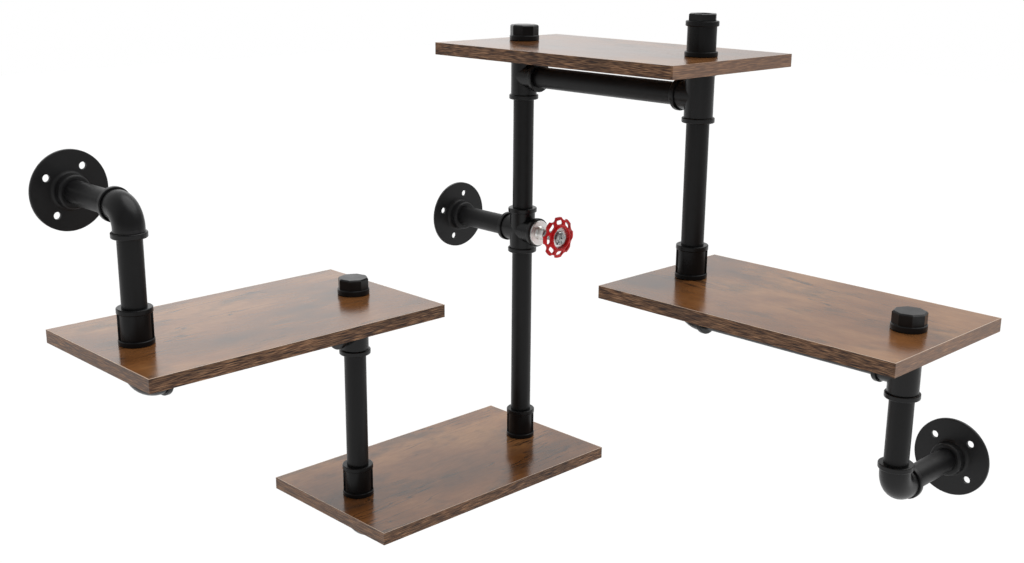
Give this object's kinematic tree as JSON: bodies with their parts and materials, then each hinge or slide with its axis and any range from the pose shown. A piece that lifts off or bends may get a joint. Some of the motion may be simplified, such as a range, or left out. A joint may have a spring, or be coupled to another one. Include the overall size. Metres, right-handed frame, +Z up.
{
  "type": "pipe shelving unit",
  "caption": "Wall-hung corner shelf: black threaded pipe and fittings carry brown boards stepped up and down both walls, with a red valve handwheel on the riser.",
  "frame": {"origin": "middle of the corner flange's back, on the left wall, at the height of the riser's cross", "axes": "+X out of the left wall along the right wall, -Y out of the right wall, +Z up"},
  "size_m": [0.745, 0.745, 0.655],
  "materials": {
    "black_pipe": "satin",
    "black_casting": "satin",
    "board": "semi-gloss",
    "edge_band": "satin",
    "red_paint": "gloss",
    "chrome": "polished"
  },
  "bodies": {
    "frame": {"board_left_lower": "board", "board_left_upper": "board", "board_right_lower": "board", "board_right_upper": "board", "bushing_right_upper_outer": "black_casting", "cap_left_upper_inner": "black_casting", "cap_right_lower_outer": "black_casting", "cap_right_upper_inner": "black_casting", "coupling_left_lower_inner": "black_casting", "coupling_left_lower_outer": "black_casting", "coupling_left_upper_outer": "black_casting", "coupling_right_lower_inner": "black_casting", "coupling_right_upper_outer": "black_casting", "drop_pipe_left": "black_pipe", "drop_pipe_right": "black_pipe", "edge_band_left_lower": "edge_band", "edge_band_left_upper": "edge_band", "edge_band_right_lower": "edge_band", "edge_band_right_upper": "edge_band", "elbow_left_lower_inner": "black_casting", "elbow_left_lower_outer": "black_casting", "elbow_left_upper_outer": "black_casting", "elbow_right_lower_inner": "black_casting", "elbow_wall_left": "black_casting", "elbow_wall_right": "black_casting", "flange_corner": "black_casting", "flange_left": "black_casting", "flange_right": "black_casting", "nipple_left_lower_inner": "black_pipe", "nipple_left_lower_outer": "black_pipe", "nipple_left_upper_inner": "black_pipe", "nipple_left_upper_outer": "black_pipe", "nipple_right_lower_inner": "black_pipe", "nipple_right_lower_outer": "black_pipe", "nipple_right_upper_inner": "black_pipe", "nipple_right_upper_outer": "black_pipe", "rail_pipe_left_lower": "black_pipe", "rail_pipe_left_upper": "black_pipe", "rail_pipe_right_lower": "black_pipe", "rail_pipe_right_upper": "black_pipe", "riser_cross": "black_casting", "riser_pipe_lower": "black_pipe", "riser_pipe_upper": "black_pipe", "step_pipe_left": "black_pipe", "step_pipe_right": "black_pipe", "tee_left_upper_inner": "black_casting", "tee_right_lower_outer": "black_casting", "tee_right_upper_inner": "black_casting", "tee_right_upper_outer": "black_casting", "valve_bonnet": "chrome", "wall_pipe_corner": "black_pipe", "wall_pipe_left": "black_pipe", "wall_pipe_right": "black_pipe"},
    "handwheel": {"handwheel": "red_paint", "valve_stem": "chrome", "wheel_nut": "chrome", "wheel_washer": "chrome"}
  },
  "joints": [
    {"name": "handwheel_spin", "type": "hinge", "parent": "frame", "child": "handwheel", "pos_m": [0.192, 0, 0], "axis": [1, 0, 0], "continuous": true}
  ]
}
